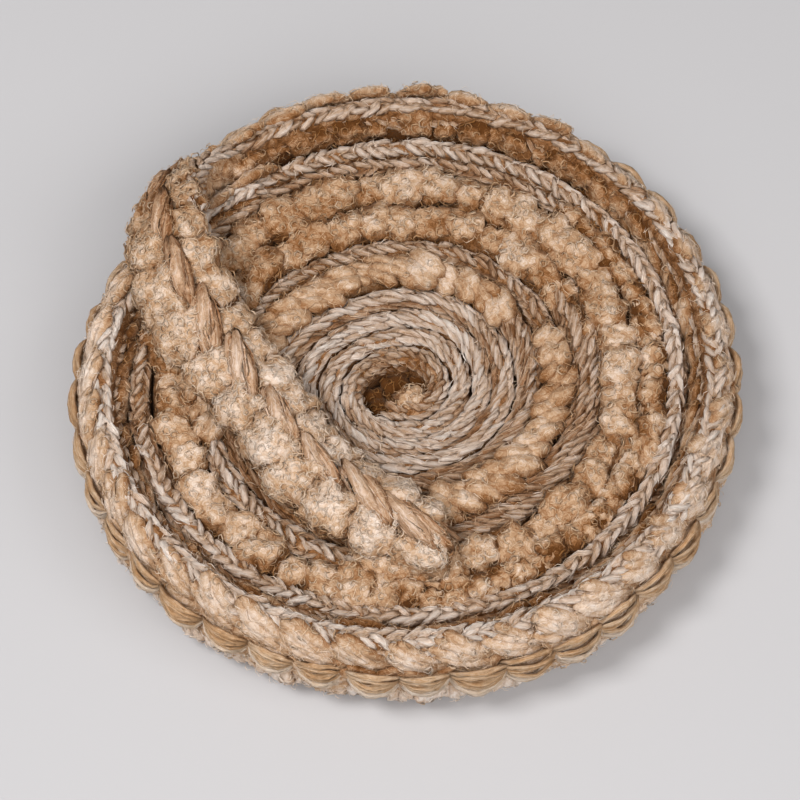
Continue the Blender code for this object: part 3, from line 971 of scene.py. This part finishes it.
def loose_surface(at, girth):
    """Points of the loose end's face at lengths along it and girths of the same shape."""
    at = np.clip(at, 0.0, LOOSE_LENGTH)
    x, y, z, lean, width, thick = (hermite(LOOSE_KNOTS, c, at) for c in loose_rows.T)
    ahead, behind = (
        np.stack([hermite(LOOSE_KNOTS, c, at + step) for c in loose_rows.T[:2]])
        for step in (LOOSE_GAP, -LOOSE_GAP)
    )
    along = ahead - behind
    along /= np.linalg.norm(along, axis=0)
    tilt = np.radians(lean)
    edge_up = np.stack([-along[1] * np.sin(tilt), along[0] * np.sin(tilt), np.cos(tilt)])
    face_out = np.stack([along[1] * np.cos(tilt), -along[0] * np.cos(tilt), np.sin(tilt)])
    share = smooth(0.0, LIES_DOWN, lean)
    outline = partial(hermite, LOOSE_GIRTH, at=girth)
    across = (1 - share) * outline(STANDING_ACROSS) + share * outline(LYING_ACROSS)
    up = (1 - share) * outline(STANDING_UP) + share * outline(LYING_UP)
    spot = np.stack([x, y, z]) + face_out * across * thick / 2 + edge_up * (up - 0.5) * width
    return np.moveaxis(spot, 0, -1)


def loose_frame(at, girth):
    """Points on the loose end's face with the unit normals that point out of it."""
    at, girth = np.broadcast_arrays(np.asarray(at, float), np.asarray(girth, float))
    along = loose_surface(at + 0.4, girth) - loose_surface(at - 0.4, girth)
    around = loose_surface(at, (girth + 0.01) % 1.0) - loose_surface(at, (girth - 0.01) % 1.0)
    return loose_surface(at, girth), unit(np.cross(along, around))


def loose_row(start, end, girth, lift, **look):
    """A row along the loose end, from start to end in millimetres along it."""
    at = np.linspace(start, end, max(int((end - start) / 1.5), 2))
    point, normal = loose_frame(at, girth)
    return point + normal * lift, normal, look


LOOSE_SINK = 0.5
LOOSE_TONE = 0.48
lengths = np.linspace(0.0, LOOSE_LENGTH, 90)
at, girth = np.meshgrid(lengths, np.linspace(0.0, 1.0, 18, endpoint=False), indexing="ij")
point, normal = loose_frame(at, girth)
loose_body = closed_loft("loose_body", point - normal * LOOSE_SINK, body_yarn)
paint(loose_body, tone=np.full(at.size, LOOSE_TONE), cover=np.ones(at.size))
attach(loose_body, "root")
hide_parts("loose_end")
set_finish(loose_body, END_SLOT)

# Its bobbles: puffs and tips on the face, ropes between them, and knobs all round where it rises
# off the rim. They are small and dark where it leaves the rim and grow to full size on the way.
LOOSE_BOBBLE_ROWS = (
    # name, girths, pitch, from, short of the tip, length, width, high, lift, slant, tone
    ("loose_puffs", (0.15,), 10.0, 6.0, 5.0, 13.4, 12.4, 8.6, -1.6, 0.00, 0.59),
    ("loose_ropes", (0.29,), 12.6, 4.0, 8.0, 17.0, 6.4, 5.8, 3.4, -0.24, 0.55),
    ("loose_tips", (0.40,), 8.4, 6.0, 7.0, 10.6, 9.6, 7.0, -1.2, 0.00, 0.58),
    ("loose_knobs", (0.06, 0.22, 0.66, 0.82), 5.4, 1.0, 0.0, 12.0, 11.0, 8.0, -3.6, 0.00, 0.50),
)
KNOBS_END = 34.0
loose_bobbles = []
for name, girths, pitch, start, short, length, width, high, lift, slant, shade in LOOSE_BOBBLE_ROWS:
    end = LOOSE_LENGTH - short if short else KNOBS_END
    rows = []
    for girth in girths:
        ride, out, look = loose_row(start, end, girth, 0.0, slant=slant)
        spots = np.linspace(start, end, len(ride))
        grown = 0.55 + 0.45 * smooth(12.0, 46.0, spots)
        ride = ride + out * (lift * grown)[:, None]
        look["pitch"] = pitch_along(ride, end - start, pitch)
        look["size"] = np.outer(grown, (length, width, high))
        look["tone"] = shade - 0.12 * (1.0 - smooth(35.0, 85.0, spots))
        rows.append((ride, out, look))
    plied = name == "loose_ropes"
    if plied:
        leaf = partial(plied_leaf, plies=3, segments=8, twist=0.6, arch=0.2, spread=0.22)
        shapes = [leaf(f"{name}_{k}", belly=0.06 * (-1) ** k, sides=6, fibres=4) for k in range(4)]
    else:
        shapes = [lumpy_ball(f"{name}_{k}", k + 0.5) for k in range(6)]
    piece = grow(
        name, rows, shapes, slot=END_SLOT, material=stitch_yarn if plied else boucle_yarn,
        slant_jitter=0.20 if plied else 0.40, roll_jitter=0.2, place_jitter=0.7 * MM,
        size_jitter=0.10, tone_jitter=0.04, root_shade=0.55, ruffle=2.6 * MM, seed=55,
    )
    loose_bobbles.append(piece)
loose_puffs, loose_ropes, loose_tips, loose_knobs = loose_bobbles

# Strands of roving on its tip, and the chain of its heading where the ridge still shows.
TIP_STRAND = (9.0, 1.8, 1.8)
HEADING_STITCH = (4.6, 1.8, 1.8)
LOOSE_STRAND_ROWS = (
    # from, to, girth, lift, size, pitch, slant, tone
    (LOOSE_LENGTH - 12.0, LOOSE_LENGTH - 2.0, 0.24, 0.4, TIP_STRAND, 2.6, 0.30, 0.50),
    (LOOSE_LENGTH - 12.0, LOOSE_LENGTH - 2.0, 0.36, 0.4, TIP_STRAND, 2.6, -0.20, 0.46),
    (0.0, 42.0, 0.46, 0.3, HEADING_STITCH, 3.1, 0.38, 0.72),
    (0.0, 42.0, 0.53, 0.3, HEADING_STITCH, 3.1, -0.38, 0.76),
)
rows = []
for start, end, girth, lift, size, pitch, slant, shade in LOOSE_STRAND_ROWS:
    look = {"size": size, "pitch": pitch, "slant": slant, "tone": shade}
    rows.append(loose_row(start, end, girth, lift, **look))
loose_strands = grow(
    "loose_strands", rows, strand_shapes, slot=END_SLOT, material=stitch_yarn, tone_jitter=0.14,
    seed=61,
)

# -----
# Boucle loops: the slub yarn's own crimped strands, which lie in curls and swirls all over the
# bobbles and fill the band between them. Their gaps are the small dark pits.
coat_tree, node, asked = new_tree(
    "yarn_coat", spacing=MM, swirls=300.0, tilt_jitter=0.2, size=MM, **COMMON_SIZES
)
sown = node(
    "GeometryNodeDistributePointsOnFaces",
    asked["Geometry"],
    distribute_method="POISSON",
    Distance_Min=asked["Spacing"],
    Density_Max=4.0e6,
    Density_Factor=node(NAMED, "cover"),
    Seed=asked["Seed"],
)
tilts = [random_value(node, asked, salt, -1.0, 1.0) for salt in (2, 3)]
tilts = [node(MATH, tilt, asked["Tilt Jitter"], operation="MULTIPLY") for tilt in tilts]
flow = node(NOISE, Vector=node(POSITION), Scale=asked["Swirls"], Detail=0.5)
stray = random_value(node, asked, 4, -0.35, 0.35)
heading = node(MATH, flow, 12.0, stray, operation="MULTIPLY_ADD")
swing = node("ShaderNodeCombineXYZ", *tilts, heading)
place_shapes(node, asked, sown, sown.node.outputs["Rotation"], swing, asked["Size"])


def show_proud(piece, ground):
    """Paint a piece's points that stand out of the ground as the ones to coat."""
    bpy.context.view_layer.update()
    tree = BVHTree.FromObject(ground, bpy.context.evaluated_depsgraph_get())
    hits = [(vertex.co, *tree.find_nearest(vertex.co)[:2]) for vertex in piece.data.vertices]
    paint(piece, cover=[(at - near).dot(normal) > -0.2 * MM for at, near, normal in hits])


def coat(rows, shapes, **settings):
    """Sow shapes all over some pieces, and return the coats of those on the loose end."""
    on_end = []
    for name, piece, spacing, seed in rows:
        settings.update(spacing=spacing * MM, tone_jitter=0.06, seed=seed)
        made = grow(name, piece.data.copy(), shapes, coat_tree, piece["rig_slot"], **settings)
        if piece["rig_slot"] == END_SLOT:
            on_end.append(made)
    return on_end


def curl(name, turns, wide, rise, thick):
    """A loop of yarn in millimetres that lies on the surface and lifts off it at one side."""
    t = np.linspace(0.0, 1.0, 6)
    angle = math.tau * turns * t
    reach = wide * (1.0 - 0.30 * t)
    arch = np.sin(np.pi * t)
    place = reach * np.cos(angle), reach * np.sin(angle), -0.1 + rise * arch
    return tube_mesh(name, [(*place, thick * (0.5 + 0.5 * arch))], 3)


LOOPS = (
    # name, piece, spacing, seed
    ("bobble_loops", boucle_bobbles, 2.25, 71),
    ("puff_loops", boucle_puffs, 3.6, 79),
    ("teardrop_loops", rim_teardrops, 3.0, 72),
    ("crescent_loops", rim_crescents, 4.0, 76),
    ("foot_loops", rim_feet, 2.6, 77),
    ("end_puff_loops", loose_puffs, 1.7, 73),
    ("end_tip_loops", loose_tips, 1.9, 78),
)
loop_shapes = [
    curl("curl_a", 0.95, 1.00, 0.50, 0.18),
    curl("curl_b", 1.00, 0.80, 0.65, 0.17),
    curl("curl_c", 0.75, 1.20, 0.40, 0.18),
]
# Crimped loops: unbrushed, so each shows as one round strand with hardly any relief. They take the
# hairs' pale shades: pale like the curls themselves, and brightened by painted light.
loop_yarn = yarn_material("crimped_loop_yarn", 0.8, 0.10, HAIR_SHADES)
for name, piece, spacing, seed in LOOPS:
    show_proud(piece, loose_body if piece in loose_bobbles else braid_body)
end_coats = coat(LOOPS, loop_shapes, material=loop_yarn, tilt_jitter=0.25, tone_shift=0.03)

# -----
# Carded fibres: single hairs raised by the brushing. They lie over the yarn in swirls, stand off it
# at the edges and blur every outline. Each is 0.13 mm thick, coarser than real so that it shows.
FIBRES = (
    # name, piece, spacing, seed
    ("bobble_fibres", boucle_bobbles, 1.36, 81),
    ("puff_fibres", boucle_puffs, 1.35, 92),
    ("teardrop_fibres", rim_teardrops, 1.15, 82),
    ("crescent_fibres", rim_crescents, 1.35, 88),
    ("foot_fibres", rim_feet, 1.35, 89),
    ("end_puff_fibres", loose_puffs, 1.0, 83),
    ("end_rope_fibres", loose_ropes, 1.3, 90),
    ("end_tip_fibres", loose_tips, 1.1, 91),
    ("end_knob_fibres", loose_knobs, 1.5, 93),
    ("body_fibres", braid_body, 4.5, 84),
    ("stitch_fibres", chain_stitches, 1.65, 85),
    ("strand_fibres", plied_strands, 1.7, 86),
    ("loose_body_fibres", loose_body, 1.9, 87),
)


def fibre(name, length, bow, sway, thick, lift):
    """One fibre in millimetres, bowed over the surface and drawn out to nothing at both ends."""
    line = [(-0.5, 0.0, -1.0), (-0.18, 1.0, 0.0), (0.2, 0.9, 0.1), (0.5, -0.2, -0.9)]
    line = [(x * length, y * sway, z * bow + lift) for x, y, z in line]
    vertices, faces = [line[0], line[3]], []
    for x, y, z in line[1:3]:
        for s in range(3):
            turn = math.tau * s / 3 + 0.5
            vertices.append((x, y + thick * math.cos(turn), z + thick * math.sin(turn)))
    for s in range(3):
        t = (s + 1) % 3
        a, b, c, d = 2 + s, 2 + t, 5 + s, 5 + t
        faces += [(0, b, a), (a, b, d), (a, d, c), (1, c, d)]
    data = smooth_mesh(name, vertices, faces)
    data.uv_layers.new(name="UVMap")
    return turn_outwards(bpy.data.objects.new(name, data))


# Carded fibre: a single hair is too thin for relief. It is painted pale, painted light that stands
# in for the light that comes through it.
fibre_yarn = yarn_material("carded_fibres", 0.0, 0.0, HAIR_SHADES)
fibre_shapes = [
    fibre("fibre_a", 3.0, 0.36, 0.80, 0.065, 0.04),
    fibre("fibre_b", 3.6, 0.45, -1.00, 0.060, 0.06),
    fibre("fibre_c", 2.4, 0.30, 0.70, 0.060, 0.05),
    fibre("fibre_d", 2.8, 0.30, -0.70, 0.065, 0.10),
    fibre("fibre_e", 2.4, 1.10, 0.40, 0.045, 0.90),
]
for piece in (chain_stitches, plied_strands, loose_ropes, loose_knobs):
    paint(piece, cover=np.ones(len(piece.data.vertices)))
settings = {"tilt_jitter": 0.22, "size_jitter": 0.25, "tone_shift": 0.05}
end_coats += coat(FIBRES, fibre_shapes, material=fibre_yarn, **settings)

# The shapes that the trees set out were never in the scene, and have done their work.
for shape in [thing for thing in bpy.data.objects if not thing.users_collection]:
    bpy.data.objects.remove(shape)
